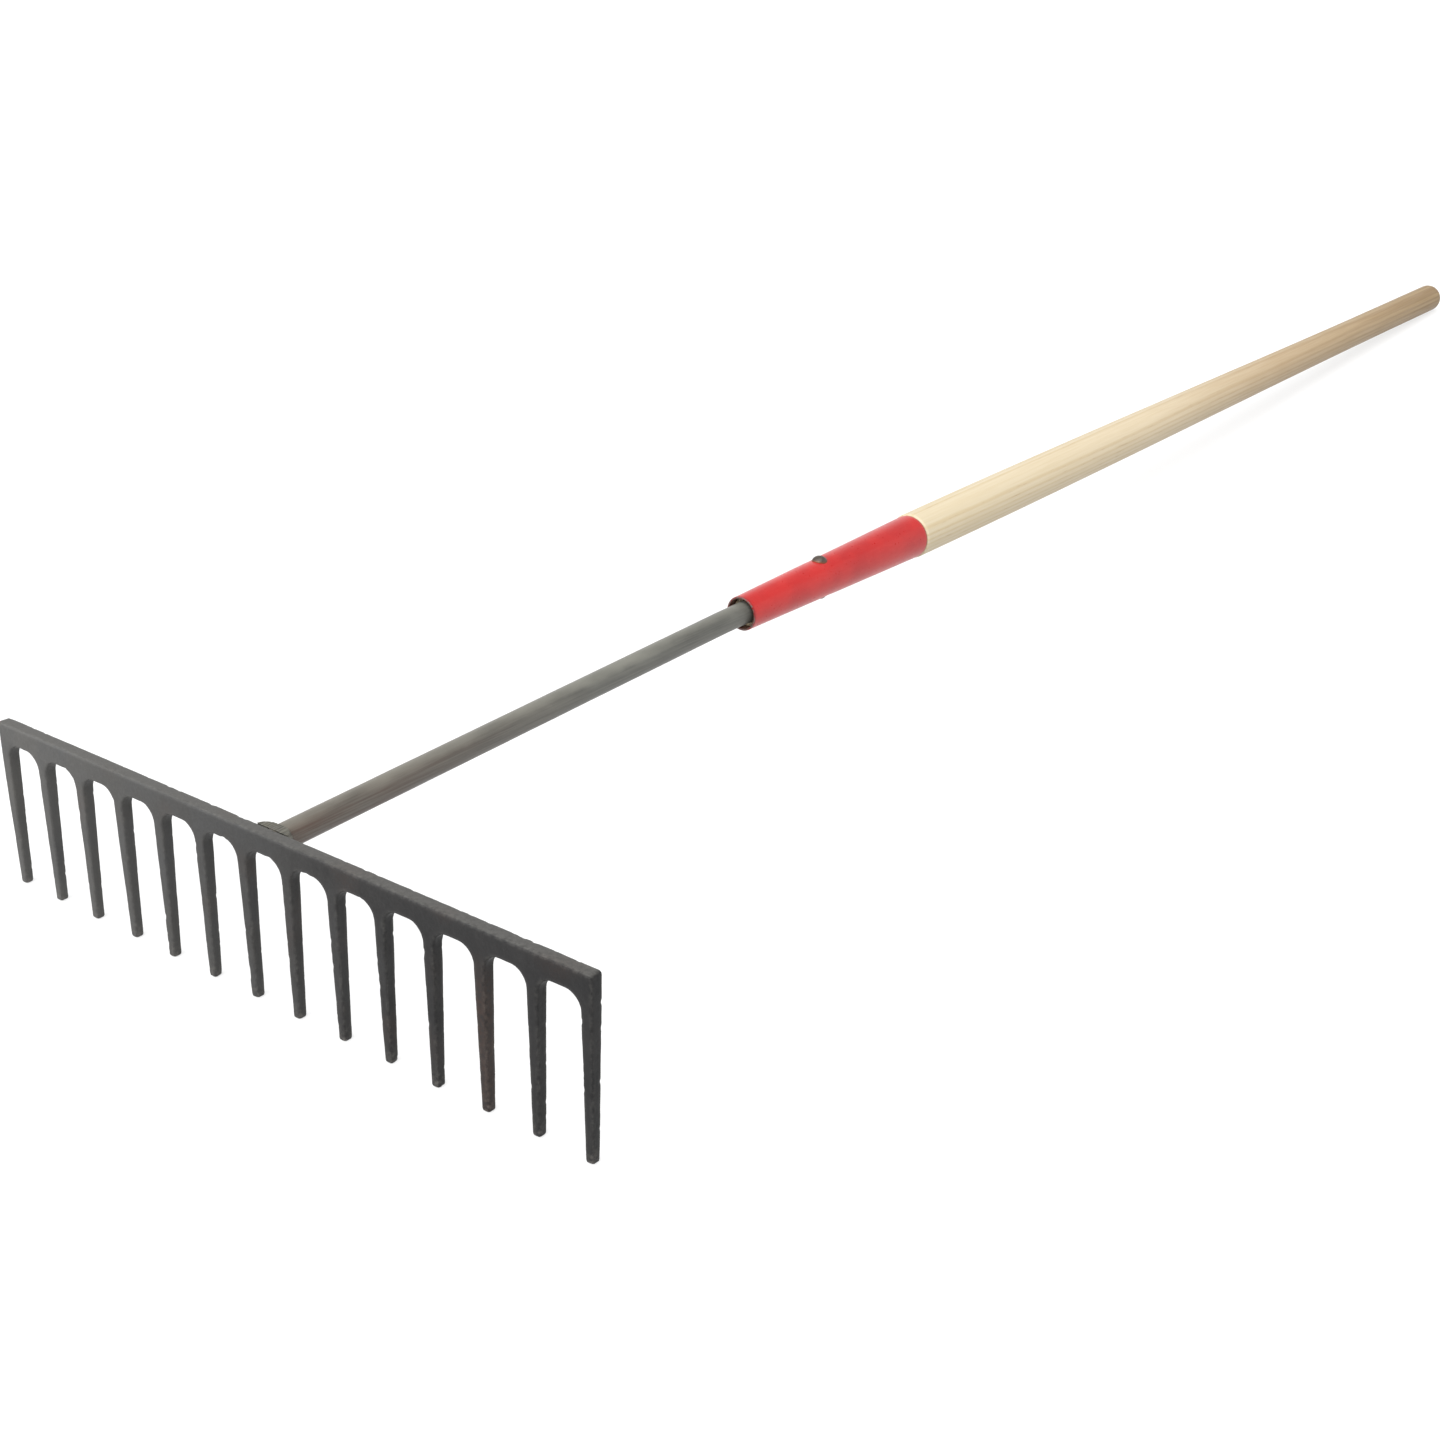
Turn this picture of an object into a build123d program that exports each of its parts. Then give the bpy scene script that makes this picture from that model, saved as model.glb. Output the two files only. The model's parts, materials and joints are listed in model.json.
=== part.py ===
"""Level-head rake: a forged steel head with a row of tines, welded to a round steel
shank that is riveted, through a tapered ferrule, into a turned wooden handle.

The rake stands as it rests on a floor: on its tine tips and on the end of its handle.
+X runs along the head, +Y from the head to the handle, +Z up. The origin is on the
floor, midway between the tine tips and the end of the handle. Millimetres.
"""

import os
from math import asin, atan2, cos, hypot, radians, sin

from build123d import *

os.makedirs("parts", exist_ok=True)

# Head
HEAD_WIDTH = 425.0
HEAD_HEIGHT = 98.0  # tine tips to the level top edge
BAR_HEIGHT = 12.0  # top edge to the underside between two tines
BAR_THICKNESS = 8.0  # at the top edge
TINE_COUNT = 14
TINE_ROOT_WIDTH = 7.5
TINE_TIP_WIDTH = 5.4
TINE_TIP_THICKNESS = 5.4
TINE_TIP_RADIUS = 1.6
GAP_CORNER_RADIUS = 9.0
HEAD_CORNER_RADIUS = 2.0
FORGED_EDGE_RADIUS = 1.4

# Shank
SHANK_DIAMETER = 14.0
SHANK_LENGTH = 371.0  # back of the bar to the front of the ferrule
SHANK_RISE = 2.0  # degrees from square to the head
SHANK_SET = 1.1  # degrees that the rod is bent down by, just ahead of the ferrule
SHANK_BEND_RADIUS = 650.0
SHANK_BEND_LEAD = 12.0  # end of the bend to the front of the ferrule
TANG_LENGTH = 165.0  # front of the ferrule to the end of the rod, inside the wood

# Weld between shank and head
WELD_LEG = 6.0
WELD_THROAT_RADIUS = 7.0
WELD_CROWN = 0.5  # bead over the rod's top, flush with the level edge, and under the rod

# Ferrule
FERRULE_LENGTH = 185.0
FERRULE_FRONT_DIAMETER = 21.8
FERRULE_REAR_DIAMETER = 29.2
FERRULE_WALL = 1.5
FERRULE_RIM_RADIUS = 0.5

# Handle
HANDLE_LENGTH = 917.0  # shoulder behind the ferrule to the free end
WOOD_RECESS = 6.0  # front of the ferrule to the front of the wood
SHOULDER_STEP = 0.5  # how far the wood stands above the ferrule's rear rim
SHOULDER_CHAMFER = 0.8
SWELL_RISE = 0.3  # growth in radius from the shoulder to the thickest section
SWELL_DISTANCE = 95.0  # shoulder to the thickest section
GRIP_DIAMETER = 24.6
GRIP_LENGTH = 120.0  # straight stretch at the free end
GRIP_END_RADIUS = 8.0
TANG_BORE_SPARE = 3.0  # bore beyond the end of the rod

# Rivet
RIVET_DIAMETER = 5.0
RIVET_HEAD_DIAMETER = 10.0
RIVET_HEAD_HEIGHT = 2.4  # the set head, above
RIVET_PEEN_HEIGHT = 1.2  # the hammered end, below
RIVET_DISTANCE = 81.0  # front of the ferrule to the rivet

# Clearances, on the radius
WOOD_CLEARANCE = 0.1  # wood in the ferrule
TANG_CLEARANCE = 0.1  # rod in the wood
RIVET_CLEARANCE = 0.1  # rivet in its holes

# Head values that follow
tine_length = HEAD_HEIGHT - BAR_HEIGHT
tine_pitch = (HEAD_WIDTH - TINE_ROOT_WIDTH) / (TINE_COUNT - 1)
tip_setback = (BAR_THICKNESS - TINE_TIP_THICKNESS) / 2

# The rod in the head's own side view: x runs back, y runs up the tines
shank_radius = SHANK_DIAMETER / 2
shank_start = Vector(BAR_THICKNESS, HEAD_HEIGHT - WELD_CROWN - shank_radius)
shank_direction = Vector(1, 0).rotate(Axis.Z, SHANK_RISE)
handle_direction = shank_direction.rotate(Axis.Z, -SHANK_SET)
handle_up = handle_direction.rotate(Axis.Z, 90)
straight_length = SHANK_LENGTH - SHANK_BEND_LEAD - SHANK_BEND_RADIUS * radians(SHANK_SET)
with BuildLine() as rod_line:
    straight = Line(
        shank_start - shank_direction * FORGED_EDGE_RADIUS,
        shank_start + shank_direction * straight_length,
    )
    bend = JernArc(straight @ 1, shank_direction, SHANK_BEND_RADIUS, -SHANK_SET)
    Line(bend @ 1, bend @ 1 + handle_direction * (SHANK_BEND_LEAD + TANG_LENGTH))
ferrule_front = bend @ 1 + handle_direction * SHANK_BEND_LEAD

# Distances along the handle, from the ferrule's front, and radii across it
free_end = FERRULE_LENGTH + HANDLE_LENGTH
grip_start = free_end - GRIP_LENGTH
grip_radius = GRIP_DIAMETER / 2
ferrule_front_radius = FERRULE_FRONT_DIAMETER / 2
ferrule_rear_radius = FERRULE_REAR_DIAMETER / 2
ferrule_slope = (ferrule_rear_radius - ferrule_front_radius) / FERRULE_LENGTH
shoulder_radius = ferrule_rear_radius + SHOULDER_STEP
swell_radius = shoulder_radius + SWELL_RISE
rivet_seat_radius = ferrule_front_radius + ferrule_slope * RIVET_DISTANCE
rivet_hole_radius = RIVET_DIAMETER / 2 + RIVET_CLEARANCE

# The two rounded corners that touch the floor, and the lean that puts them both on it
tip_corner = Vector(BAR_THICKNESS - tip_setback - FORGED_EDGE_RADIUS, FORGED_EDGE_RADIUS)
handle_end = ferrule_front + handle_direction * free_end
grip_corner = (
    handle_end
    - handle_direction * GRIP_END_RADIUS
    - handle_up * (grip_radius - GRIP_END_RADIUS)
)
span = grip_corner - tip_corner
lean = atan2(span.Y, span.X) + asin((FORGED_EDGE_RADIUS - GRIP_END_RADIUS) / hypot(span.X, span.Y))
floor_height = tip_corner.X * sin(lean) - tip_corner.Y * cos(lean) + FORGED_EDGE_RADIUS
rear_reach = handle_end.X * cos(lean) + handle_end.Y * sin(lean)
middle = (tip_setback + rear_reach) / 2

# Planes. tool stands at the tine tips, face looks at the head from the front, and side is
# the head's side view. shank_side and handle_side are that view along the rod and handle
tool = Plane(origin=(0, -middle, floor_height), x_dir=(1, 0, 0), z_dir=(0, sin(lean), cos(lean)))
face = Plane(origin=tool.origin, x_dir=tool.x_dir, z_dir=-tool.y_dir)
side = Plane(origin=tool.origin, x_dir=tool.y_dir, z_dir=tool.x_dir)
rod_path = side.from_local_coords(rod_line.wire())
shank_side = Plane(side.from_local_coords(shank_start), x_dir=rod_path % 0, z_dir=tool.x_dir)
handle_side = Plane(side.from_local_coords(ferrule_front), x_dir=rod_path % 1, z_dir=tool.x_dir)
shank_axis = Axis(shank_side.origin, shank_side.x_dir)
handle_axis = Axis(handle_side.origin, handle_side.x_dir)
rivet_plane = Plane(
    handle_side.from_local_coords((RIVET_DISTANCE, FERRULE_REAR_DIAMETER)),
    x_dir=tool.x_dir,
    z_dir=handle_side.y_dir,
)
rivet_axis = Axis(rivet_plane.origin, rivet_plane.z_dir)

# Head: outline seen from the front, cut to the tapered section seen from the side
with BuildPart() as rake_head:
    with BuildSketch(face):
        with Locations((0, HEAD_HEIGHT - BAR_HEIGHT / 2)):
            Rectangle(HEAD_WIDTH, BAR_HEIGHT)
        with BuildLine():
            Polyline(
                (-TINE_ROOT_WIDTH / 2, tine_length),
                (-TINE_TIP_WIDTH / 2, 0),
                (TINE_TIP_WIDTH / 2, 0),
                (TINE_ROOT_WIDTH / 2, tine_length),
                close=True,
            )
        tine_outline = make_face(mode=Mode.PRIVATE)
        with GridLocations(tine_pitch, 0, TINE_COUNT, 1):
            add(tine_outline)
        underside = vertices().group_by(Axis.Y)[1].sort_by(Axis.X)
        fillet(underside[1:-1], GAP_CORNER_RADIUS)
        fillet(vertices().group_by(Axis.Y)[0], TINE_TIP_RADIUS)
        fillet(vertices().group_by(Axis.Y)[-1], HEAD_CORNER_RADIUS)
    extrude(amount=-BAR_THICKNESS)
    with BuildSketch(side):
        with BuildLine():
            Polyline(
                (0, HEAD_HEIGHT),
                (tip_setback, 0),
                (BAR_THICKNESS - tip_setback, 0),
                (BAR_THICKNESS, HEAD_HEIGHT),
                close=True,
            )
        make_face()
    extrude(amount=HEAD_WIDTH / 2, both=True, mode=Mode.INTERSECT)
    front_to_back = faces().sort_by(Axis(tool.origin, tool.y_dir))
    fillet(front_to_back[0].edges() + front_to_back[-1].edges(), FORGED_EDGE_RADIUS)
rake_head.part.label = "rake_head"

# Shank: a round rod, bent a little ahead of the ferrule, butting on the back of the bar
with BuildPart() as shank:
    with BuildSketch(Plane(rod_path @ 0, z_dir=rod_path % 0)):
        Circle(shank_radius)
    sweep(path=rod_path)
    add(rake_head.part, mode=Mode.SUBTRACT)
    with Locations(rivet_plane):
        Hole(rivet_hole_radius)
shank.part.label = "shank"

# Weld: a hollow fillet round the rod, filling the rounded edges on the back of the bar
with BuildPart() as head_weld:
    with BuildSketch(shank_side):
        with BuildLine():
            base = Polyline(
                (WELD_LEG, shank_radius),
                (WELD_LEG, 0),
                (-FORGED_EDGE_RADIUS, 0),
                (-FORGED_EDGE_RADIUS, shank_radius + WELD_LEG),
                (0, shank_radius + WELD_LEG),
            )
            RadiusArc(base @ 1, base @ 0, WELD_THROAT_RADIUS)
        make_face()
    revolve(axis=shank_axis)
    with BuildSketch(side):
        with Locations(shank_start):
            Rectangle(2 * BAR_THICKNESS, SHANK_DIAMETER + 2 * WELD_CROWN)
    extrude(amount=SHANK_DIAMETER, both=True, mode=Mode.INTERSECT)
    add(shank.part, mode=Mode.SUBTRACT)
    add(rake_head.part, mode=Mode.SUBTRACT)
head_weld.part.label = "head_weld"

# Ferrule: a tapered tube, open at both ends, drilled across for the rivet
with BuildPart() as ferrule:
    with BuildSketch(handle_side):
        with BuildLine():
            Polyline(
                (0, ferrule_front_radius),
                (FERRULE_LENGTH, ferrule_rear_radius),
                (FERRULE_LENGTH, ferrule_rear_radius - FERRULE_WALL),
                (0, ferrule_front_radius - FERRULE_WALL),
                close=True,
            )
        make_face()
        fillet(vertices(), FERRULE_RIM_RADIUS)
    revolve(axis=handle_axis)
    with Locations(rivet_plane):
        Hole(rivet_hole_radius)
ferrule.part.label = "ferrule"

# Handle: cut down to enter the ferrule, full behind it, tapering to a straight grip
wood_gap = FERRULE_WALL + WOOD_CLEARANCE
with BuildPart() as handle:
    with BuildSketch(handle_side):
        with BuildLine():
            neck = Polyline(
                (WOOD_RECESS, 0),
                (WOOD_RECESS, ferrule_front_radius + ferrule_slope * WOOD_RECESS - wood_gap),
                (FERRULE_LENGTH, ferrule_rear_radius - wood_gap),
                (FERRULE_LENGTH, shoulder_radius - SHOULDER_CHAMFER),
                (FERRULE_LENGTH + SHOULDER_CHAMFER, shoulder_radius),
            )
            swell = Spline(
                neck @ 1,
                (FERRULE_LENGTH + SWELL_DISTANCE, swell_radius),
                tangents=((SWELL_DISTANCE, 2 * SWELL_RISE), (1, 0)),
            )
            taper = Spline(swell @ 1, (grip_start, grip_radius), tangents=((1, 0), (1, 0)))
            grip = Line(taper @ 1, (free_end - GRIP_END_RADIUS, grip_radius))
            rounded = JernArc(grip @ 1, grip % 1, GRIP_END_RADIUS, -90)
            Polyline(rounded @ 1, (free_end, 0), neck @ 0)
        make_face()
    revolve(axis=handle_axis)
    with BuildSketch(Plane(handle_side.origin, z_dir=handle_side.x_dir)):
        Circle(shank_radius + TANG_CLEARANCE)
    extrude(amount=TANG_LENGTH + TANG_BORE_SPARE, mode=Mode.SUBTRACT)
    with Locations(rivet_plane):
        Hole(rivet_hole_radius)
handle.part.label = "handle"

# Rivet: a domed head above the ferrule, a flatter one below, and the pin between them
rivet_head_radius = RIVET_HEAD_DIAMETER / 2
with BuildPart() as ferrule_rivet:
    for upward, head_height in ((1, RIVET_HEAD_HEIGHT), (-1, RIVET_PEEN_HEIGHT)):
        with BuildSketch(handle_side):
            with BuildLine():
                crown = ThreePointArc(
                    (RIVET_DISTANCE - rivet_head_radius, upward * rivet_seat_radius),
                    (RIVET_DISTANCE, upward * (rivet_seat_radius + head_height)),
                    (RIVET_DISTANCE + rivet_head_radius, upward * rivet_seat_radius),
                )
                Polyline(
                    crown @ 1,
                    (RIVET_DISTANCE + rivet_head_radius, 0),
                    (RIVET_DISTANCE - rivet_head_radius, 0),
                    crown @ 0,
                )
            make_face()
            split(bisect_by=Plane.YZ.offset(RIVET_DISTANCE))
        revolve(axis=rivet_axis)
    with BuildSketch(handle_side):
        with BuildLine():
            Polyline(
                (0, 0),
                (0, ferrule_front_radius),
                (FERRULE_LENGTH, ferrule_rear_radius),
                (FERRULE_LENGTH, 0),
                close=True,
            )
        make_face()
    revolve(axis=handle_axis, mode=Mode.SUBTRACT)
    with BuildSketch(rivet_plane.offset(-FERRULE_REAR_DIAMETER)):
        Circle(RIVET_DIAMETER / 2)
    extrude(amount=rivet_seat_radius + RIVET_PEEN_HEIGHT / 2, both=True)
ferrule_rivet.part.label = "ferrule_rivet"

for piece in (rake_head, shank, head_weld, ferrule, handle, ferrule_rivet):
    export_step(piece.part, f"parts/{piece.part.label}.step")
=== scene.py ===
import json
import math

import bpy
import numpy as np
from mathutils import Matrix, Vector, noise


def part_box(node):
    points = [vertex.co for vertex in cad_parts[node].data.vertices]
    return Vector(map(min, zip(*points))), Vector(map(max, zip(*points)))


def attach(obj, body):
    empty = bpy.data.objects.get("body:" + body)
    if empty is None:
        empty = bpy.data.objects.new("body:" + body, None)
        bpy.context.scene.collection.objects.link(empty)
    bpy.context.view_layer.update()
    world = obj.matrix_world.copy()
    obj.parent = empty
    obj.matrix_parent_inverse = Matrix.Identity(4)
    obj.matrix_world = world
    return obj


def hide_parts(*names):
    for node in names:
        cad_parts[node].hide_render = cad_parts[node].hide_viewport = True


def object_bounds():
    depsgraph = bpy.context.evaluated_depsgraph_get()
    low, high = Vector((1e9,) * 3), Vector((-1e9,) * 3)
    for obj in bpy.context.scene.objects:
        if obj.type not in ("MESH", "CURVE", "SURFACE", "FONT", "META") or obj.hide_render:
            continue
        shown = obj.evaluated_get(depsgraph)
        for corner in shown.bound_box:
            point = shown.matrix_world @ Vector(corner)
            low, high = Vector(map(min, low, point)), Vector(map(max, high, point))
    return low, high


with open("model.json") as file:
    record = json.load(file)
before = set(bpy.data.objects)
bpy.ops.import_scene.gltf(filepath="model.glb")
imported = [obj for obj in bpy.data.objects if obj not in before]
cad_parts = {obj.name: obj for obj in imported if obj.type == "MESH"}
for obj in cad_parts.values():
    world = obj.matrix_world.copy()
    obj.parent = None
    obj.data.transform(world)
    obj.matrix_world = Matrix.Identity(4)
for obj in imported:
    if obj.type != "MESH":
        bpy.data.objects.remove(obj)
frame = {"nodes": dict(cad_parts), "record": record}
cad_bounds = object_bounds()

# Sizes the pieces are built to, in metres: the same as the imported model's
MM = 0.001
HEAD_HEIGHT = 98 * MM
BAR_THICKNESS = 8 * MM
TINE_COUNT = 14
TINE_LENGTH = 86 * MM
TINE_ROOT_WIDTH = 7.5 * MM
RUSTY_TINE = 12
SHANK_RADIUS = 7 * MM
SHANK_LENGTH = 371 * MM
SHANK_SET = math.radians(1.1)
SHANK_RISE = math.radians(2.0)
SHANK_BEND_RADIUS = 650 * MM
SHANK_BEND_LEAD = 12 * MM
SHANK_DROP = 7.5 * MM  # head's top edge to the middle of the rod
TANG_LENGTH = 165 * MM
FERRULE_LENGTH = 185 * MM
FERRULE_FRONT_RADIUS = 10.9 * MM
FERRULE_REAR_RADIUS = 14.6 * MM
FERRULE_WALL = 1.5 * MM
FERRULE_RIM_RADIUS = 0.5 * MM
WOOD_RECESS = 6 * MM
WOOD_CLEARANCE = 0.1 * MM
SHOULDER_RADIUS = 15.1 * MM
SHOULDER_CHAMFER = 0.8 * MM
SWELL_RADIUS = 15.4 * MM
SWELL_DISTANCE = 95 * MM
GRIP_RADIUS = 12.3 * MM
GRIP_LENGTH = 120 * MM
GRIP_END_RADIUS = 8 * MM
BORE_RADIUS = 7.1 * MM
BORE_END = 168 * MM
RIVET_DISTANCE = 81 * MM
RIVET_RADIUS = 2.5 * MM
RIVET_HEAD_RADIUS = 5 * MM
RIVET_HEAD_HEIGHT = 2.4 * MM  # the set head, above
RIVET_PEEN_HEIGHT = 1.2 * MM  # the hammered end, below

# How uneven the surfaces are, in metres unless said otherwise
HEAD_MESH = 0.8 * MM  # spacing of the points on the head
WELD_MESH = 0.3 * MM
KNOCK_DEPTH = 0.9 * MM  # of the dents along the head's edges
TINE_SIDE_SWAY = 0.32 * MM  # most that a tine's tip stands out of line
TINE_BACK_SWAY = 0.55 * MM
BEAD_COUNT = 30  # steps laid round the rod
BEAD_DEPTH = 0.16 * MM
SEAM_HALF_WIDTH = 0.45 * MM
SEAM_DEPTH = 0.22 * MM
RIM_CURL = 0.45 * MM  # how far the rear rim is drawn in
RIM_CURL_LENGTH = 2.2 * MM
RIVET_PULL = 0.3 * MM  # depth of the hollow that the rivet pulls the ferrule into
RIVET_SET_DENTS = 0.05 * MM
RIVET_PEEN_DENTS = 0.16 * MM

# ------------------------------------------------------------------ places


def axes(origin, x_axis, y_axis, z_axis):
    """The matrix that takes a piece's own axes to the row frame."""
    made = Matrix((x_axis, y_axis, z_axis)).transposed().to_4x4()
    made.translation = origin
    return made


def tool_frame(mounts):
    """The head's axes: x across, y back and z up, from the foot of its front face."""
    mount = mounts["head_top"]
    up = Vector(mount["axis"]).normalized()
    across = Vector((1, 0, 0))
    back = up.cross(across)
    foot = Vector(mount["pos_m"]) - up * HEAD_HEIGHT - back * BAR_THICKNESS / 2
    return axes(foot, across, back, up)


def handle_frame(mounts):
    """The handle's axes: x along it from the front of the ferrule, z up."""
    mount = mounts["handle_grip"]
    along = Vector(mount["axis"]).normalized()
    left = Vector((-1, 0, 0))
    up = along.cross(left)
    place = Vector(mount["pos_m"])
    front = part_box("ferrule")[0].y - along.z * FERRULE_FRONT_RADIUS
    return axes(place + along * (front - place.y) / along.y, along, left, up)


def handle_length():
    """From the front of the ferrule to the handle's rounded end, along the handle."""
    along = HANDLE.to_3x3().col[0]
    flat = GRIP_RADIUS - GRIP_END_RADIUS
    overhang = GRIP_END_RADIUS * (1 - along.y) - flat * along.z
    return (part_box("handle")[1].y - HANDLE.translation.y - overhang) / along.y


mounts = {mount["name"]: mount for mount in frame["record"]["mounts"]}
TOOL = tool_frame(mounts)
HANDLE = handle_frame(mounts)
FREE_END = handle_length()
FERRULE_SLOPE = (FERRULE_REAR_RADIUS - FERRULE_FRONT_RADIUS) / FERRULE_LENGTH

# ------------------------------------------------------------------ meshes


def ripple(points, size, seed=0.0):
    """Smooth noise from about -1 to 1 at each point, with features of that size."""
    shift = Vector((seed, seed * 1.7, seed * 2.3))
    return np.array([noise.noise(Vector(p) / size + shift) for p in points])


def dented(points, *layers):
    """Depths of layered dents, each given as (half its depth, its size, its seed) in mm."""
    return sum(
        depth * (1 + ripple(points, size * MM, seed)) for depth, size, seed in layers
    ) * MM


def piece(name, points, faces, place, node, material):
    """A mesh made in its own axes and set in the row frame, in place of a CAD node."""
    mesh = bpy.data.meshes.new(name)
    mesh.from_pydata([Vector(p) for p in points], [], faces)
    mesh.validate()
    own = mesh.attributes.new("own", "FLOAT_VECTOR", "POINT")
    own.data.foreach_set("vector", np.asarray(points, np.float32).ravel())
    mesh.transform(place)
    mesh.shade_smooth()
    mesh.materials.append(material)
    made = bpy.data.objects.new(name, mesh)
    bpy.context.scene.collection.objects.link(made)
    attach(made, "root")
    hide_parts(node)
    return made


def revolved(profile, turns):
    """Points and faces of a profile of (x, radius) turned about the x axis.

    An end of the profile on the axis closes to one point; a profile with neither end
    on the axis is a closed loop, such as the section of a tube.
    """
    solid = profile[0][1] == 0 and profile[-1][1] == 0
    rings = profile[1:-1] if solid else profile
    count = len(turns)
    cos, sin = np.cos(turns), np.sin(turns)
    points = [(x, r * c, r * s) for x, r in rings for c, s in zip(cos, sin)]
    pairs = len(rings) - 1 if solid else len(rings)
    faces = []
    for ring in range(pairs):
        near = ring * count
        far = (ring + 1) % len(rings) * count
        for turn in range(count):
            after = (turn + 1) % count
            faces.append((near + turn, near + after, far + after, far + turn))
    if solid:
        first, last = len(points), len(points) + 1
        points += [(profile[0][0], 0, 0), (profile[-1][0], 0, 0)]
        end = (len(rings) - 1) * count
        for turn in range(count):
            after = (turn + 1) % count
            faces.append((first, after, turn))
            faces.append((last, end + turn, end + after))
    return np.array(points), faces


def stations(start, end, step):
    """Evenly spaced values from start up to, but not at, end."""
    count = max(1, round(abs(end - start) / step))
    return list(np.linspace(start, end, count, endpoint=False))


def corner(x, r, radius, first, last, steps=5):
    """Points on a rounded corner about (x, r), between two angles in degrees."""
    angles = np.radians(np.linspace(first, last, steps))
    return [(x + radius * math.cos(a), r + radius * math.sin(a)) for a in angles]


def remeshed(node, place, voxel):
    """A CAD node's closed skin as an even mesh in a piece's own axes."""
    source = frame["nodes"][node]
    copy = bpy.data.objects.new("skin", source.data.copy())
    copy.data.transform(place.inverted())
    bpy.context.scene.collection.objects.link(copy)
    remesh = copy.modifiers.new("skin", "REMESH")
    remesh.mode = "VOXEL"
    remesh.voxel_size = voxel
    graph = bpy.context.evaluated_depsgraph_get()
    skin = bpy.data.meshes.new_from_object(copy.evaluated_get(graph))
    points = np.array([v.co for v in skin.vertices])
    normals = np.array([v.normal for v in skin.vertices])
    faces = [tuple(p.vertices) for p in skin.polygons]
    edges = np.array([e.vertices for e in skin.edges])
    bpy.data.objects.remove(copy)
    bpy.data.meshes.remove(skin)
    return points, normals, faces, edges


def smoothed(points, edges, rounds):
    """The points moved towards the middle of their neighbours a few times."""
    for _ in range(rounds):
        total = np.zeros_like(points)
        count = np.zeros(len(points))
        for a, b in (edges.T, edges.T[::-1]):
            np.add.at(total, a, points[b])
            np.add.at(count, a, 1)
        points = points / 2 + total / count[:, None] / 2
    return points


def ridges(points, normals, edges, size, rounds):
    """From 0 on a flat to 1 on a sharp outer edge, at each point."""
    middle = smoothed(points, edges, rounds)
    rise = ((points - middle) * normals).sum(1)
    return np.clip(rise / size, 0, 1)


def store(made, name, values):
    """A number at each point of a piece, for its material."""
    layer = made.data.attributes.new(name, "FLOAT", "POINT")
    layer.data.foreach_set("value", np.asarray(values, np.float32))


# --------------------------------------------------------------- materials


def colour(red, green, blue):
    """A colour as seen on a screen, from 0 to 255, as linear light."""
    seen = [value / 255 for value in (red, green, blue)]
    linear = [v / 12.92 if v <= 0.04045 else ((v + 0.055) / 1.055) ** 2.4 for v in seen]
    return (*linear, 1.0)


def add(tree, kind, inputs, **settings):
    """One node with its settings, each input set to a value or fed by a socket."""
    made = tree.nodes.new("ShaderNode" + kind)
    for name, value in settings.items():
        setattr(made, name, value)
    for name, value in inputs.items():
        if isinstance(value, bpy.types.NodeSocket):
            tree.links.new(value, made.inputs[name])
        else:
            made.inputs[name].default_value = value
    return made


def maths(tree, operation, *values):
    """The result of a sum on sockets and numbers."""
    inputs = dict(enumerate(values))
    return add(tree, "Math", inputs, operation=operation).outputs[0]


def mixed(tree, factor, first, second, blend="MIX"):
    """Two colours, mixed by a factor."""
    inputs = {0: factor, 6: first, 7: second}
    return add(tree, "Mix", inputs, data_type="RGBA", blend_type=blend).outputs[2]


def own_place(tree, scale=(1, 1, 1), shift=(0, 0, 0)):
    """A point's place in its piece's own axes, scaled and shifted."""
    place = add(tree, "Attribute", {}, attribute_name="own").outputs["Vector"]
    inputs = {"Vector": place, "Scale": scale, "Location": shift}
    return add(tree, "Mapping", inputs).outputs["Vector"]


def part_of(tree, axis, scale=(1, 1, 1)):
    """One coordinate of a point's own place."""
    split = add(tree, "SeparateXYZ", {"Vector": own_place(tree, scale)})
    return split.outputs[axis]


def specks(tree, scale, detail=4.0, stretch=(1, 1, 1), rough=0.55, shift=(0, 0, 0)):
    """Noise in the piece's own axes, as a number near one half."""
    place = own_place(tree, stretch, shift)
    inputs = {"Vector": place, "Scale": scale, "Detail": detail, "Roughness": rough}
    return add(tree, "TexNoise", inputs).outputs[0]


def steps(tree, value, *stops):
    """A number or colour read from a ramp of (place, colour) stops."""
    ramp = add(tree, "ValToRGB", {"Fac": value})
    band = ramp.color_ramp.elements
    while len(band) < len(stops):
        band.new(1.0)
    for element, (place, shade) in zip(band, stops):
        element.position = place
        element.color = shade if isinstance(shade, tuple) else (shade, shade, shade, 1)
    return ramp.outputs["Color"]


def number_at(tree, name):
    """A number stored at each point by store()."""
    return add(tree, "Attribute", {}, attribute_name=name).outputs["Fac"]


def spread(tree, value, low, high, to_low=0.0, to_high=1.0):
    """A number moved from one range to another, and kept inside it."""
    inputs = {0: value, 1: low, 2: high, 3: to_low, 4: to_high}
    return add(tree, "MapRange", inputs, clamp=True).outputs[0]


def bumped(tree, height, distance, strength=1.0, under=None):
    """Small relief in metres, over any relief under it."""
    inputs = {"Height": height, "Distance": distance, "Strength": strength}
    if under is not None:
        inputs["Normal"] = under
    return add(tree, "Bump", inputs).outputs[0]


def surface(name):
    """A new material and its node tree, with nothing in it but the output."""
    made = bpy.data.materials.new(name)
    made.use_nodes = True
    made.node_tree.nodes.clear()
    return made, made.node_tree


def shade(tree, inputs):
    """The surface's one shader, joined to the output."""
    shader = add(tree, "BsdfPrincipled", inputs)
    add(tree, "OutputMaterial", {"Surface": shader.outputs[0]})


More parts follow.
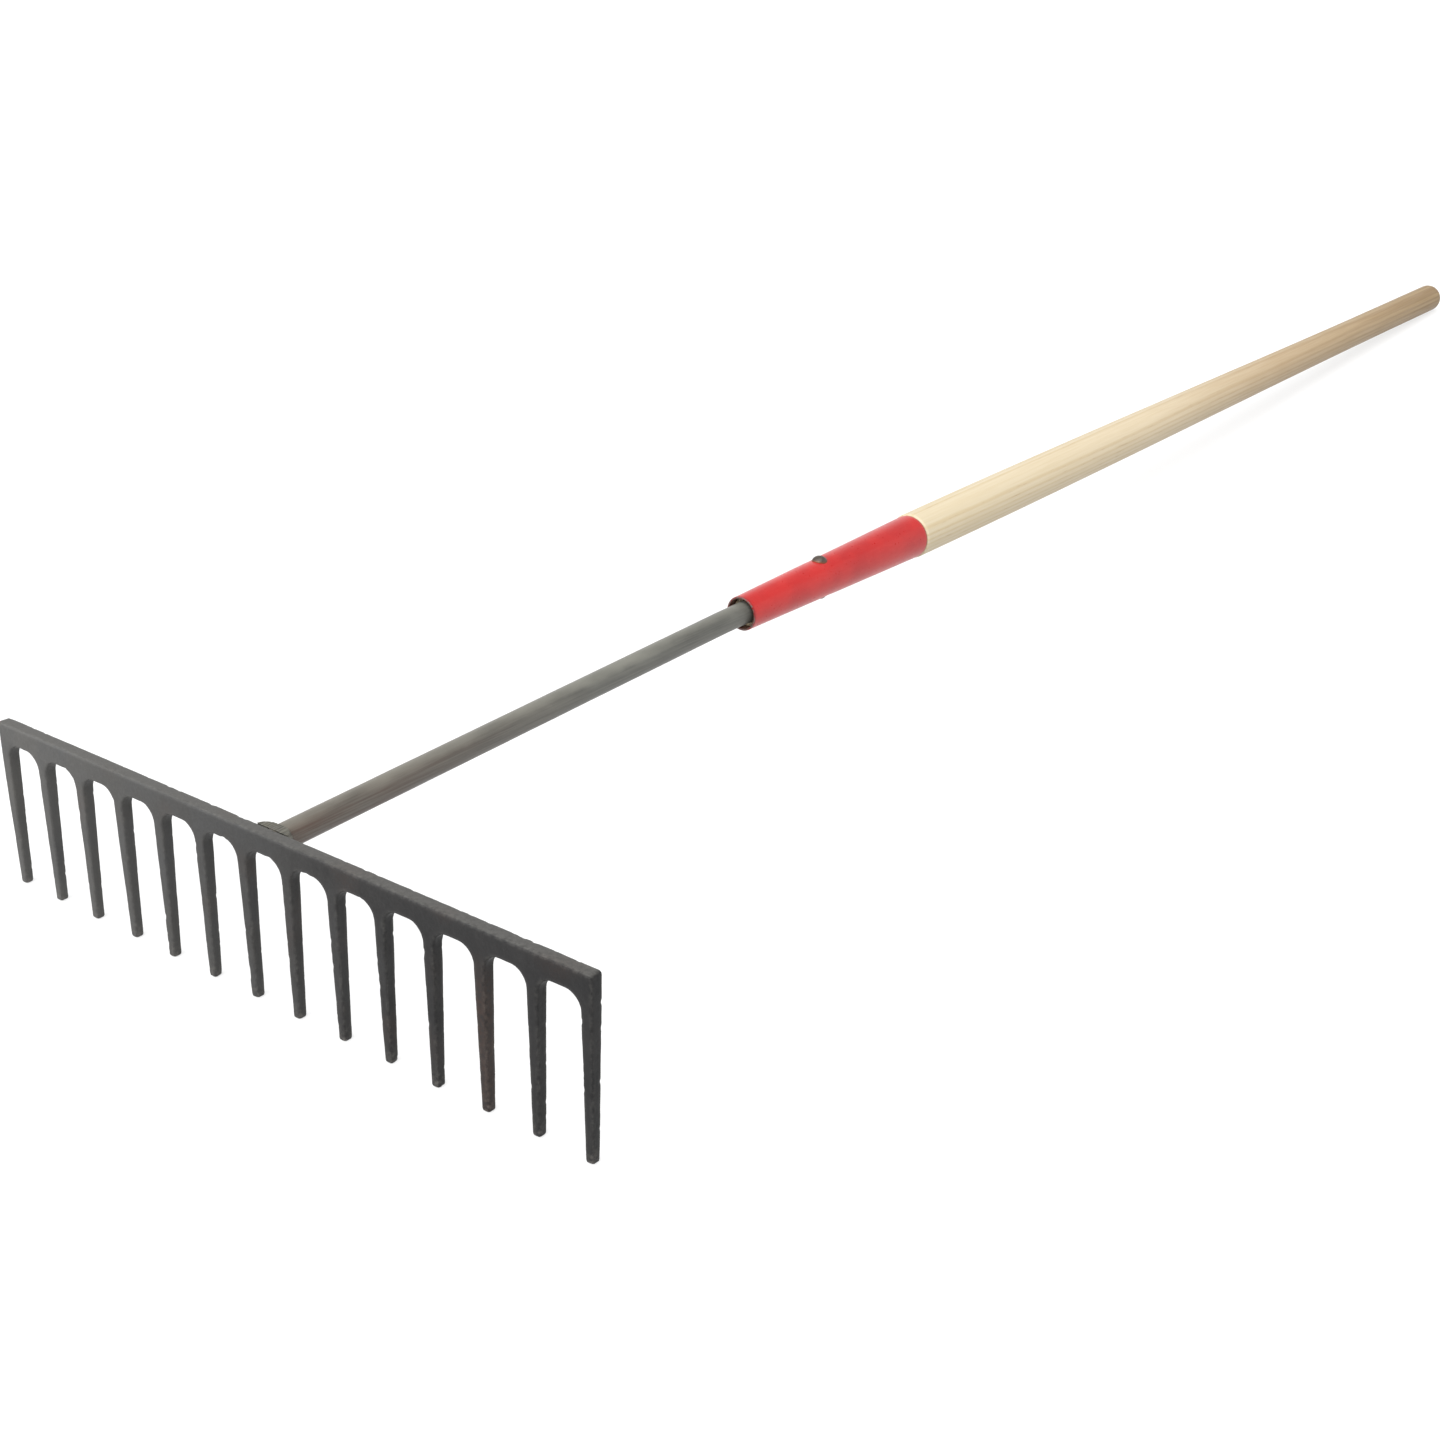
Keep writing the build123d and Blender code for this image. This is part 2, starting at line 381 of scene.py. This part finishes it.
def black_scale():
    """Hot-forged steel under dark paint, worn lighter on the edges and at the tips. Painted shading
    makes the head lighter at its left end and darker to the right, and a painted highlight lightens
    its upper face.
    """
    made, tree = surface("black_scale")
    broad = specks(tree, 28, 3)
    fine = specks(tree, 420, 6, rough=0.65)
    cloud = spread(tree, broad, 0.35, 0.65)
    # painted shading: lighter tones towards the head's left end, darker towards its right end,
    # standing for how light falls across it
    lit_left_tone = mixed(tree, cloud, colour(56, 56, 56), colour(66, 65, 63))
    shaded_right_tone = mixed(tree, cloud, colour(17, 17, 18), colour(27, 26, 26))
    across = maths(tree, "ADD", part_of(tree, 0), spread(tree, broad, 0.3, 0.7, -0.06, 0.06))
    base = mixed(tree, spread(tree, across, -0.16, 0.10), lit_left_tone, shaded_right_tone)
    # painted highlight: the head's upper face is painted lighter, as if lit from above
    top_highlight = maths(tree, "MULTIPLY", number_at(tree, "top"), spread(tree, fine, 0.3, 0.62, 0.55, 1))
    base = mixed(tree, top_highlight, base, colour(72, 71, 69))
    rust = maths(tree, "MULTIPLY", number_at(tree, "rust"), spread(tree, fine, 0.3, 0.6))
    base = mixed(tree, rust, base, colour(72, 49, 37))
    worn = maths(tree, "MULTIPLY", number_at(tree, "edge"), spread(tree, fine, 0.4, 0.75))
    base = mixed(tree, maths(tree, "MULTIPLY", worn, 0.4), base, colour(92, 91, 88))
    tips = maths(tree, "MULTIPLY", number_at(tree, "tip"), spread(tree, fine, 0.45, 0.7))
    base = mixed(tree, maths(tree, "MULTIPLY", tips, 0.5), base, colour(96, 92, 87))
    gloss = spread(tree, fine, 0.3, 0.7, 0.44, 0.62)
    pits = bumped(tree, fine, 0.25 * MM, 0.35)
    scale = bumped(tree, specks(tree, 130, 4), 0.8 * MM, 0.35, pits)
    shade(tree, {
        "Base Color": base,
        "Roughness": gloss,
        "Normal": scale,
        "Specular IOR Level": 0.22,
    })
    return made


def weld_bead():
    """Wire-brushed weld metal, straw and blue where it was hottest."""
    made, tree = surface("weld_bead")
    fine = specks(tree, 900, 5)
    patch = spread(tree, specks(tree, 160, 3), 0.35, 0.65)
    base = mixed(tree, patch, colour(56, 55, 48), colour(74, 72, 63))
    tint = spread(tree, specks(tree, 90, 2, shift=(1.3, 0, 0)), 0.5, 0.7, 0, 0.5)
    base = mixed(tree, tint, base, colour(58, 55, 60))
    base = mixed(tree, number_at(tree, "edge"), base, colour(102, 99, 90))
    shade(tree, {
        "Base Color": base,
        "Roughness": spread(tree, fine, 0.3, 0.7, 0.35, 0.6),
        "Normal": bumped(tree, fine, 0.15 * MM, 0.5),
        "Metallic": 0.2,
    })
    return made


def drawn_steel():
    """Hot-rolled rod: drawn lines along it, brown scale towards the weld, and a painted highlight
    along its upper side.
    """
    made, tree = surface("drawn_steel")
    lines = specks(tree, 900, 4, stretch=(0.02, 1, 1))
    mottle = specks(tree, 70, 5, stretch=(0.35, 1, 1))
    patch = spread(tree, mottle, 0.35, 0.65)
    base = mixed(tree, patch, colour(72, 72, 68), colour(88, 88, 83))
    heat = spread(tree, part_of(tree, 0), -0.375, -0.14, 1, 0)
    stain = maths(tree, "MULTIPLY", heat, spread(tree, mottle, 0.3, 0.6, 0.45, 1.0))
    base = mixed(tree, stain, base, colour(72, 53, 43))
    # painted highlight: the rod's upper side is painted lighter, as if lit from above
    crest = maths(tree, "ADD", number_at(tree, "crest"), spread(tree, mottle, 0.3, 0.7, -0.25, 0.15))
    base = mixed(tree, spread(tree, crest, 0.5, 1.0, 0, 0.55), base, colour(124, 123, 114))
    streak = spread(tree, lines, 0.4, 0.62, 0, 0.35)
    base = mixed(tree, streak, base, colour(104, 103, 96))
    shade(tree, {
        "Base Color": base,
        "Roughness": spread(tree, mottle, 0.3, 0.7, 0.36, 0.56),
        "Normal": bumped(tree, lines, 0.12 * MM, 0.4, bumped(tree, mottle, 0.5 * MM, 0.3)),
        "Metallic": 0.25,
    })
    return made


def red_enamel():
    """Dipped red enamel over sheet steel, worn through on the rims, with painted shade darkening both
    rims and the inside of the mouth.
    """
    made, tree = surface("red_enamel")
    peel = specks(tree, 480, 3)
    cloud = spread(tree, specks(tree, 45, 3), 0.35, 0.65)
    base = mixed(tree, cloud, colour(150, 24, 24), colour(162, 30, 28))
    scuff = specks(tree, 700, 5, stretch=(0.25, 1, 1))
    faded = spread(tree, scuff, 0.5, 0.85, 0, 0.3)
    base = mixed(tree, faded, base, colour(176, 52, 46))
    chip = maths(tree, "ADD", number_at(tree, "rim"), specks(tree, 520, 4))
    # painted shade: both rims are painted dark maroon, where shade falls at the rolled edges
    dark = maths(tree, "MULTIPLY", number_at(tree, "rim"), 1.3)
    base = mixed(tree, dark, base, colour(84, 14, 16))
    bare = spread(tree, chip, 1.02, 1.1)
    base = mixed(tree, bare, base, colour(84, 70, 66))
    # the inner wall: rusty brown bare steel and painted shade in the gap round the rod
    rust_and_shade_inside = spread(tree, scuff, 0.3, 0.7, 0.75, 1.0)
    rust_and_shade_inside = maths(tree, "MULTIPLY", number_at(tree, "inside"), rust_and_shade_inside)
    base = mixed(tree, rust_and_shade_inside, base, colour(70, 40, 32))
    seam = number_at(tree, "seam")
    base = mixed(tree, maths(tree, "MULTIPLY", seam, 0.7), base, colour(96, 12, 14))
    shade(tree, {
        "Base Color": base,
        "Roughness": spread(tree, peel, 0.3, 0.7, 0.27, 0.38),
        "Normal": bumped(tree, peel, 0.12 * MM, 0.2),
        "Specular IOR Level": 0.32,
        "Coat Weight": 0.12,
        "Coat Roughness": 0.15,
    })
    return made


def rivet_metal():
    """Hammered steel, browned round the foot of each head."""
    made, tree = surface("rivet_metal")
    fine = specks(tree, 1500, 4)
    patch = spread(tree, specks(tree, 420, 3), 0.35, 0.65)
    base = mixed(tree, patch, colour(58, 50, 45), colour(78, 69, 62))
    base = mixed(tree, number_at(tree, "foot"), base, colour(112, 60, 34))
    shade(tree, {
        "Base Color": base,
        "Roughness": spread(tree, fine, 0.3, 0.7, 0.34, 0.55),
        "Normal": bumped(tree, fine, 0.08 * MM, 0.6),
        "Metallic": 0.45,
    })
    return made


def wood_growth(tree):
    """The growth lines of a board cut well off the heart of the tree."""
    section = own_place(tree, (0.035, 1, 1), (0, 21 * MM, -34 * MM))
    inputs = {
        "Vector": section,
        "Scale": 96.0,
        "Distortion": 5.0,
        "Detail": 2.5,
        "Detail Scale": 0.55,
    }
    return add(tree, "TexWave", inputs, wave_type="RINGS", rings_direction="X").outputs[1]


def wood_tones(tree):
    """Early and late wood, both darker and browner from the ferrule to the free end, as painted shade
    where the light falls off along the handle.
    """
    far = spread(tree, part_of(tree, 0), FERRULE_LENGTH, FREE_END)
    # painted shade: both tones darken towards the free end, as the light falls off along the handle
    pale = steps(
        tree, far,
        (0.0, colour(178, 166, 141)), (0.35, colour(175, 161, 136)),
        (0.6, colour(152, 133, 105)), (1.0, colour(124, 103, 69)),
    )
    dark = steps(
        tree, far,
        (0.0, colour(169, 152, 119)), (0.35, colour(163, 146, 116)),
        (0.6, colour(138, 116, 83)), (1.0, colour(103, 81, 52)),
    )
    return pale, dark


def ash_wood():
    """Turned ash: long growth lines, open pores, a waxed surface and an end that darkens over its last
    centimetre.
    """
    made, tree = surface("ash_wood")
    growth = wood_growth(tree)
    fibre = specks(tree, 620, 5, stretch=(0.03, 1, 1), rough=0.6)
    pores = specks(tree, 1500, 3, stretch=(0.05, 1, 1), rough=0.5, shift=(0.7, 0, 0))
    pale, dark = wood_tones(tree)
    late = spread(tree, growth, 0.4, 1.0, 0, 0.7)
    base = mixed(tree, late, pale, dark)
    base = mixed(tree, spread(tree, fibre, 0.42, 0.66, 0, 0.28), base, dark)
    vessel = maths(tree, "MULTIPLY", spread(tree, pores, 0.6, 0.7), late)
    base = mixed(tree, maths(tree, "MULTIPLY", vessel, 0.6), base, colour(118, 90, 60))
    # darker over the last centimetre of the free end
    end = spread(tree, part_of(tree, 0), FREE_END - 10 * MM, FREE_END - 2 * MM, 0, 0.65)
    base = mixed(tree, end, base, colour(98, 74, 50))
    relief = bumped(tree, pores, 0.1 * MM, 0.35, bumped(tree, growth, 0.12 * MM, 0.3))
    shade(tree, {
        "Base Color": base,
        "Roughness": spread(tree, fibre, 0.3, 0.7, 0.4, 0.58),
        "Normal": bumped(tree, fibre, 0.15 * MM, 0.4, relief),
        "Specular IOR Level": 0.4,
    })
    return made


def glowing_floor():
    """A mid-grey studio table that glows evenly, so it looks pale and lights the rake softly from
    below.
    """
    made, tree = surface("glowing_floor")
    tone = spread(tree, specks(tree, 3, 3), 0.3, 0.7)
    base = mixed(tree, tone, (0.21, 0.21, 0.21, 1), (0.23, 0.23, 0.23, 1))
    shade(tree, {
        "Base Color": base,
        "Roughness": 0.9,
        "Specular IOR Level": 0.1,
        "Emission Color": (1, 1, 1, 1),
        "Emission Strength": FLOOR_GLOW,
    })
    return made


# ------------------------------------------------------------------ pieces


def tine_pitch():
    """From the middle of one tine to the next."""
    return (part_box("rake_head")[1].x * 2 - TINE_ROOT_WIDTH) / (TINE_COUNT - 1)


def tine_sway(points):
    """How far each point of the head leans with its own tine, sideways and back."""
    tine = np.round(points[:, 0] / tine_pitch() + (TINE_COUNT - 1) / 2)
    depth = np.clip((TINE_LENGTH - points[:, 2]) / TINE_LENGTH, 0, 1) ** 1.7
    side = np.sin(tine * 2.4 + 0.7) * TINE_SIDE_SWAY
    back = (0.5 + 0.5 * np.sin(tine * 4.1 + 2.0)) * TINE_BACK_SWAY
    return side * depth, back * depth


def rust_on_head(points):
    """Where the steel has browned: down one tine, and in faint patches elsewhere."""
    middle = tine_pitch() * (RUSTY_TINE - (TINE_COUNT + 1) / 2)
    from_tine = np.abs(points[:, 0] - middle) / TINE_ROOT_WIDTH
    down = np.clip((TINE_LENGTH - points[:, 2]) / (25 * MM), 0, 1)
    patches = np.clip(ripple(points, 26 * MM, 14.2) - 0.25, 0, 1)
    return np.clip(0.3 * np.clip(1.4 - from_tine, 0, 1) * down + 0.35 * patches, 0, 1)


def make_head(material):
    """The forged head: uneven skin, soft edges and tines that each lean a little."""
    points, normals, faces, edges = remeshed("rake_head", TOOL, HEAD_MESH)
    edge = ridges(points, normals, edges, 0.16 * MM, 4)
    dents = dented(points, (0.10, 16, 3.1), (0.07, 5, 7.7), (0.03, 2, 1.9))
    knocks = np.clip(ripple(points, 4 * MM, 11.3) - 0.25, 0, 1) * edge
    shaped = points - normals * (dents + KNOCK_DEPTH * knocks)[:, None]
    side, back = tine_sway(points)
    shaped[:, 0] += side
    shaped[:, 1] += back
    made = piece("forged_head", shaped, faces, TOOL, "rake_head", material)
    store(made, "edge", edge)
    store(made, "tip", np.clip(1 - points[:, 2] / (11 * MM), 0, 1))
    store(made, "rust", rust_on_head(points))
    # marks the head's upper face, which the material paints lighter as a highlight
    near_top = np.clip((points[:, 2] - HEAD_HEIGHT) / (1.5 * MM) + 1, 0, 1)
    store(made, "top", near_top * np.clip(normals[:, 2] * 2 - 0.9, 0, 1))
    return made


def make_weld(material):
    """The bead round the rod, laid in short overlapping steps."""
    points, normals, faces, edges = remeshed("head_weld", TOOL, WELD_MESH)
    behind = points[:, 1] - BAR_THICKNESS
    middle = HEAD_HEIGHT - SHANK_DROP + behind * math.tan(SHANK_RISE)
    rise = points[:, 2] - middle
    turn = np.arctan2(rise, points[:, 0])
    reach = np.hypot(points[:, 0], rise) - SHANK_RADIUS
    wander = ripple(points, 6 * MM, 2.2) * 0.5
    phase = turn * BEAD_COUNT / 2 + wander + reach / MM * 0.3
    beads = np.abs(np.sin(phase))
    depth = BEAD_DEPTH * (1 - beads) ** 2 + dented(points, (0.12, 2.2, 5.0))
    shaped = points - normals * depth[:, None]
    made = piece("weld", shaped, faces, TOOL, "head_weld", material)
    store(made, "edge", np.clip(beads - 0.75, 0, 0.25) * 2)
    return made


def rod_section(path):
    """The rod's middle and slope at a distance before (-) or after the ferrule's front."""
    past_bend = -SHANK_BEND_LEAD
    bend_length = SHANK_BEND_RADIUS * SHANK_SET
    if path >= past_bend:
        return path, 0.0, 0.0
    turned = min((past_bend - path) / SHANK_BEND_RADIUS, SHANK_SET)
    x = past_bend - SHANK_BEND_RADIUS * math.sin(turned)
    z = -SHANK_BEND_RADIUS * (1 - math.cos(turned))
    left = max(past_bend - path - bend_length, 0)
    return x - left * math.cos(turned), z - left * math.sin(turned), turned


def make_shank(material):
    """The rod from inside the bar's back to the end of its tang."""
    inside = 1.2 * MM
    shown = stations(-SHANK_LENGTH - inside, WOOD_RECESS, 1.5 * MM)
    hidden = stations(WOOD_RECESS, TANG_LENGTH, 12 * MM)
    paths = [*shown, *hidden, TANG_LENGTH]
    profile = [(paths[0], 0), *((path, SHANK_RADIUS) for path in paths), (paths[-1], 0)]
    turns = np.linspace(0, 2 * math.pi, 64, endpoint=False)
    points, faces = revolved(profile, turns)
    dents = dented(points, (0.05, 30, 4.0), (0.03, 6, 8.0))
    points[:, 1:] *= (1 - dents / SHANK_RADIUS)[:, None]
    # how high each point sits round the rod; the material paints the upper side lighter as a highlight
    crest = points[:, 2] / SHANK_RADIUS
    for number, (path, across, up) in enumerate(points):
        x, z, slope = rod_section(path)
        points[number] = (x - up * math.sin(slope), across, z + up * math.cos(slope))
    made = piece("rod", points, faces, HANDLE, "shank", material)
    store(made, "crest", crest)
    return made


def ferrule_radius(x):
    """The ferrule's outer radius at a distance from its front."""
    return FERRULE_FRONT_RADIUS + FERRULE_SLOPE * x


def seam_turns():
    """Angles round the ferrule, close together at the seam underneath."""
    gap = math.radians(9)
    close = np.radians([-9, -6, -4, -2.6, -1.6, -0.8, 0, 0.8, 1.6, 2.6, 4, 6])
    rest = np.linspace(gap, 2 * math.pi - gap, 76, endpoint=False)
    return np.concatenate([close, rest]) - math.pi / 2


def ferrule_profile():
    """The section of the ferrule's wall, round from the front rim."""
    rim = FERRULE_RIM_RADIUS
    front, rear = FERRULE_FRONT_RADIUS, FERRULE_REAR_RADIUS
    outer = [(x, ferrule_radius(x)) for x in stations(2 * rim, FERRULE_LENGTH - 2 * rim, 1.2 * MM)]
    inner = [
        (x, ferrule_radius(x) - FERRULE_WALL)
        for x in stations(FERRULE_LENGTH - 2 * rim, 2 * rim, 5 * MM)
    ]
    return [
        *corner(rim, front - rim, rim, 180, 90),
        *outer,
        *corner(FERRULE_LENGTH - rim, rear - rim, rim, 90, 0),
        *corner(FERRULE_LENGTH - rim, rear - FERRULE_WALL + rim, rim, 0, -90),
        *inner,
        *corner(rim, front - FERRULE_WALL + rim, rim, 270, 180),
    ]


def ferrule_dents(points, seam):
    """How far the ferrule's outside is drawn in, at the seam, the rivet and the rear rim."""
    from_rivet = np.hypot(points[:, 0] - RIVET_DISTANCE, points[:, 1])
    pull = np.exp(-(np.clip(from_rivet - 4.5 * MM, 0, None) / (3.5 * MM)) ** 2)
    to_rear = np.clip(FERRULE_LENGTH - points[:, 0], 0, None)
    curl = np.clip(1 - to_rear / RIM_CURL_LENGTH, 0, 1) ** 2
    wave = dented(points, (0.04, 22, 6.0))
    return wave + RIM_CURL * curl + SEAM_DEPTH * seam + RIVET_PULL * pull


def make_ferrule(material):
    """Sheet steel rolled to a taper, its seam closed underneath, drawn in at the rivet."""
    points, faces = revolved(ferrule_profile(), seam_turns())
    reach = np.hypot(points[:, 1], points[:, 2])
    outside = reach > ferrule_radius(points[:, 0]) - FERRULE_WALL / 2
    from_seam = np.arctan2(points[:, 1], -points[:, 2]) * reach
    seam = np.clip(1 - np.abs(from_seam) / SEAM_HALF_WIDTH, 0, 1)
    inward = np.where(outside, ferrule_dents(points, seam), 0)
    points[:, 1:] *= (1 - inward / reach)[:, None]
    made = piece("ferrule_sleeve", points, faces, HANDLE, "ferrule", material)
    to_end = np.minimum(points[:, 0], FERRULE_LENGTH - points[:, 0])
    store(made, "seam", seam)
    # rim is near either end: it darkens both rims as painted shade and lets chips through
    store(made, "rim", np.clip(1 - to_end / (1.6 * MM), 0, 1) * 0.6)
    # inside marks the inner wall, darkened as rust and painted shade
    store(made, "inside", ~outside)
    return made


def eased(share):
    """A smooth step from 0 to 1."""
    return share * share * (3 - 2 * share)


def handle_profile():
    """The wood's outline: bore, neck in the ferrule, shoulder, swell, taper and grip."""
    clear = FERRULE_WALL + WOOD_CLEARANCE
    shoulder = FERRULE_LENGTH + SHOULDER_CHAMFER
    swell = FERRULE_LENGTH + SWELL_DISTANCE
    grip = FREE_END - GRIP_LENGTH
    bore = [(BORE_END, 0), (BORE_END, BORE_RADIUS), (WOOD_RECESS, BORE_RADIUS)]
    neck = [(x, ferrule_radius(x) - clear) for x in stations(WOOD_RECESS, FERRULE_LENGTH, 10 * MM)]
    step = [
        (FERRULE_LENGTH, FERRULE_REAR_RADIUS - clear),
        (FERRULE_LENGTH, SHOULDER_RADIUS - SHOULDER_CHAMFER),
        (FERRULE_LENGTH + SHOULDER_CHAMFER / 2, SHOULDER_RADIUS - SHOULDER_CHAMFER / 2),
    ]
    body = []
    for x in stations(shoulder, swell, 2 * MM):
        share = (x - shoulder) / (swell - shoulder)
        body.append((x, SHOULDER_RADIUS + (SWELL_RADIUS - SHOULDER_RADIUS) * share * (2 - share)))
    for x in stations(swell, grip, 2 * MM):
        share = eased((x - swell) / (grip - swell))
        body.append((x, SWELL_RADIUS + (GRIP_RADIUS - SWELL_RADIUS) * share))
    body += [(x, GRIP_RADIUS) for x in stations(grip, FREE_END - GRIP_END_RADIUS, 2 * MM)]
    end = GRIP_END_RADIUS
    return [
        *bore, *neck, *step, *body,
        *corner(FREE_END - end, GRIP_RADIUS - end, end, 90, 0, 12),
        (FREE_END, 2 * MM), (FREE_END, 0),
    ]


def make_handle(material):
    """The turned handle, with the slight unevenness that sanding leaves."""
    turns = np.linspace(0, 2 * math.pi, 72, endpoint=False)
    points, faces = revolved(handle_profile(), turns)
    reach = np.hypot(points[:, 1], points[:, 2])
    long = points * (0.12, 1, 1)
    worn = dented(long, (0.05, 9, 2.0), (0.02, 3, 5.0))
    behind = points[:, 0] > FERRULE_LENGTH + SHOULDER_CHAMFER
    cut = np.where(behind & (reach > 3 * MM), worn, 0)
    points[:, 1:] *= (1 - cut / np.maximum(reach, MM))[:, None]
    return piece("ash_handle", points, faces, HANDLE, "handle", material)


def make_rivet(material):
    """A rivet through ferrule, wood and rod: a set head above, a peened one below."""
    seat = ferrule_radius(RIVET_DISTANCE)
    rim = RIVET_HEAD_RADIUS
    shares = np.linspace(0, 1, 14)
    foot = [(seat - 0.5 * MM, rim), (seat - 1.4 * MM, rim - 0.3 * MM), (seat - 1.6 * MM, RIVET_RADIUS)]
    shaft = [(x, RIVET_RADIUS) for x in np.linspace(seat - 4 * MM, 0, 4, endpoint=False)]
    half = [*foot, *shaft]
    upper = [(seat + RIVET_HEAD_HEIGHT * (1 - share**2.2), share * rim) for share in shares]
    lower = [(-seat - RIVET_PEEN_HEIGHT * (1 - share**2.6), share * rim) for share in shares]
    profile = [*upper, *half, *((-x, r) for x, r in reversed(half)), *reversed(lower)]
    turns = np.linspace(0, 2 * math.pi, 48, endpoint=False)
    points, faces = revolved(profile, turns)
    place = HANDLE @ axes(Vector((RIVET_DISTANCE, 0, 0)), (0, 0, 1), (0, -1, 0), (1, 0, 0))
    reach = np.hypot(points[:, 1], points[:, 2])
    near_rim = np.clip(reach / rim, 0, 1) ** 4
    sag = seat - np.sqrt(np.maximum(seat**2 - points[:, 1] ** 2, 0))
    side = np.sign(points[:, 0])
    head = np.abs(points[:, 0]) > seat - 2 * MM
    beaten = np.where(side < 0, RIVET_PEEN_DENTS, RIVET_SET_DENTS)
    beaten = beaten * (1 + ripple(points, 2.4 * MM, 9.0))
    points[:, 0] -= side * np.where(head, sag * near_rim + beaten, 0)
    made = piece("rivet", points, faces, place, "ferrule_rivet", material)
    store(made, "foot", np.clip((reach / rim - 0.86) * 6, 0, 0.8))
    return made


# ------------------------------------------------------------------- stage

# Camera, floor and lights
CAMERA_PLACE = Vector((0.74092, -1.29525, 0.60326))
CAMERA_AZIMUTH = math.radians(39.04)
CAMERA_ELEVATION = math.radians(26.65)
CAMERA_ROLL = math.radians(-1.903)
CAMERA_LENS = 53.62
SENSOR = 36.0
FLOOR_RADIUS = 6.0
COVE_RADIUS = 2.0
WALL_HEIGHT = 4.5
KEY_PLACE = Vector((0.35, -1.1, 2.0))
KEY_SPREAD = math.radians(70)
KEY_STRENGTH = 5.4
FILL_PLACE = Vector((-0.75, -1.45, 0.45))
FILL_SIZE = 0.7
FILL_POWER = 7.0
SKY_STRENGTH = 0.55
FLOOR_GLOW = 0.72


def make_floor(material):
    """A wide floor that curves up all round into a low wall, with no edge in sight."""
    sweep = np.linspace(0, math.pi / 2, 13)
    rings = [
        (FLOOR_RADIUS + COVE_RADIUS * math.sin(a), COVE_RADIUS * (1 - math.cos(a))) for a in sweep
    ]
    rings.append((FLOOR_RADIUS + COVE_RADIUS, WALL_HEIGHT))
    turns = np.linspace(0, 2 * math.pi, 96, endpoint=False)
    count = len(turns)
    points = [(r * math.cos(t), r * math.sin(t), z) for r, z in rings for t in turns]
    faces = [tuple(range(count))]
    for ring in range(len(rings) - 1):
        for turn in range(count):
            low, after = ring * count, (turn + 1) % count
            faces.append((low + after, low + turn, low + turn + count, low + after + count))
    mesh = bpy.data.meshes.new("floor")
    mesh.from_pydata(points, [], faces)
    mesh.shade_smooth()
    mesh.materials.append(material)
    made = bpy.data.objects.new("floor", mesh)
    bpy.context.scene.collection.objects.link(made)


def make_key(place, target):
    """A broad light over the whole floor, from one side."""
    lamp = bpy.data.lights.new("key", "SUN")
    lamp.angle = KEY_SPREAD
    lamp.energy = KEY_STRENGTH
    aim_light(lamp, place, target)


def make_fill(place, target):
    """A square soft light close to the head."""
    lamp = bpy.data.lights.new("fill", "AREA")
    lamp.shape = "SQUARE"
    lamp.size = FILL_SIZE
    lamp.energy = FILL_POWER
    aim_light(lamp, place, target)


def aim_light(lamp, place, target):
    """A lamp set in place and turned to the target."""
    made = bpy.data.objects.new(lamp.name, lamp)
    made.location = place
    made.rotation_euler = (place - target).to_track_quat("Z", "Y").to_euler()
    made.visible_camera = False
    bpy.context.scene.collection.objects.link(made)


def make_world():
    """An even white surround, dimmer than the floor."""
    world = bpy.data.worlds.new("studio")
    world.use_nodes = True
    sky = world.node_tree.nodes["Background"]
    sky.inputs["Color"].default_value = (1, 1, 1, 1)
    sky.inputs["Strength"].default_value = SKY_STRENGTH
    bpy.context.scene.world = world


def make_camera():
    """The camera at the photograph's viewing angle."""
    flat = math.cos(CAMERA_ELEVATION)
    back = Vector((
        math.sin(CAMERA_AZIMUTH) * flat,
        -math.cos(CAMERA_AZIMUTH) * flat,
        math.sin(CAMERA_ELEVATION),
    ))
    turn = back.to_track_quat("Z", "Y").to_matrix().to_4x4()
    data = bpy.data.cameras.new("camera")
    data.lens = CAMERA_LENS
    data.sensor_width = SENSOR
    made = bpy.data.objects.new("camera", data)
    made.matrix_world = Matrix.Translation(CAMERA_PLACE) @ turn @ Matrix.Rotation(
        CAMERA_ROLL, 4, "Z"
    )
    bpy.context.scene.collection.objects.link(made)
    bpy.context.scene.camera = made


make_head(black_scale())
make_weld(weld_bead())
make_shank(drawn_steel())
make_ferrule(red_enamel())
make_handle(ash_wood())
make_rivet(rivet_metal())
middle = (cad_bounds[0] + cad_bounds[1]) / 2
make_floor(glowing_floor())
make_world()
make_key(KEY_PLACE, middle)
make_fill(FILL_PLACE, middle)
make_camera()
bpy.context.scene.view_settings.view_transform = "Standard"
